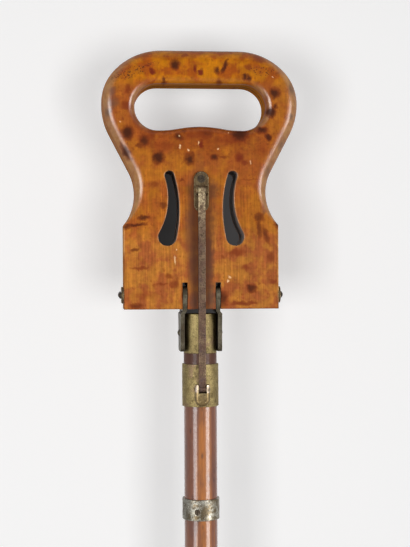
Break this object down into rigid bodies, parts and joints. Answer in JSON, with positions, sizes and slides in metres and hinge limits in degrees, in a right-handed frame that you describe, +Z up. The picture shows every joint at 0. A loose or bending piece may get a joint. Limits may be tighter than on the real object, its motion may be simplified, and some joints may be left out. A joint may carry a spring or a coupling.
{
  "type": "shooting stick",
  "caption": "Walking cane whose upright wooden hand grip folds open into a level seat, with a spike and ground plate at its foot.",
  "frame": {"origin": "tip of the ground spike, on the cane's axis", "axes": "+Z up along the cane, +X along the hinge rods to the right of somebody facing the front, -Y to the front"},
  "size_m": [0.1348, 0.068, 0.8894],
  "materials": {
    "seat_wood": "varnished, spotted grain",
    "cane_wood": "polished, dark grain",
    "aged_brass": "aged and tarnished",
    "link_brass": "worn and pitted",
    "nickel_plate": "worn nickel plating",
    "plate_steel": "worn",
    "dark_steel": "blackened",
    "foot_steel": "weathered"
  },
  "bodies": {
    "stick": {"cane": "cane_wood", "head_socket": "aged_brass", "left_side_plate": "plate_steel", "right_side_plate": "plate_steel", "head_rivet": "plate_steel", "stop_ring": "nickel_plate", "stop_ring_screws": "dark_steel", "ferrule": "aged_brass", "ferrule_pin": "aged_brass", "ground_plate": "foot_steel", "spike": "foot_steel"},
    "front_seat": {"front_leaf": "seat_wood", "front_hinge_rod": "dark_steel", "front_rod_washers": "aged_brass", "front_leaf_bracket": "aged_brass", "front_bracket_screws": "dark_steel", "front_upper_pin": "aged_brass"},
    "rear_seat": {"rear_leaf": "seat_wood", "rear_hinge_rod": "dark_steel", "rear_rod_washers": "aged_brass", "rear_leaf_bracket": "aged_brass", "rear_bracket_screws": "dark_steel", "rear_upper_pin": "aged_brass"},
    "front_arm": {"front_link": "link_brass"},
    "rear_arm": {"rear_link": "link_brass"},
    "slider": {"slider_sleeve": "aged_brass", "front_slider_lug": "aged_brass", "rear_slider_lug": "aged_brass", "front_lower_pin": "dark_steel", "rear_lower_pin": "dark_steel"}
  },
  "joints": [
    {"name": "front_fold", "type": "hinge", "parent": "stick", "child": "front_seat", "pos_m": [0, -0.0099, 0.722], "axis": [1, 0, 0], "range_deg": [0, 90]},
    {"name": "rear_fold", "type": "hinge", "parent": "stick", "child": "rear_seat", "pos_m": [0, 0.0099, 0.722], "axis": [-1, 0, 0], "range_deg": [0, 90]},
    {"name": "front_arm_swing", "type": "hinge", "parent": "front_seat", "child": "front_arm", "pos_m": [0, -0.019, 0.793], "axis": [1, 0, 0], "range_deg": [-62.55, 0]},
    {"name": "rear_arm_swing", "type": "hinge", "parent": "rear_seat", "child": "rear_arm", "pos_m": [0, 0.019, 0.793], "axis": [-1, 0, 0], "range_deg": [-62.55, 0]},
    {"name": "slider_run", "type": "slide", "parent": "stick", "child": "slider", "axis": [0, 0, 1], "range_m": [-0.06347, 0]}
  ],
  "couplings": [
    {"joint": "rear_fold", "follows": "front_fold", "ratio": 1},
    {"joint": "front_arm_swing", "follows": "front_fold", "ratio": -0.69491},
    {"joint": "rear_arm_swing", "follows": "front_fold", "ratio": -0.69491},
    {"joint": "slider_run", "follows": "front_fold", "m_per_rad": -0.040401}
  ]
}
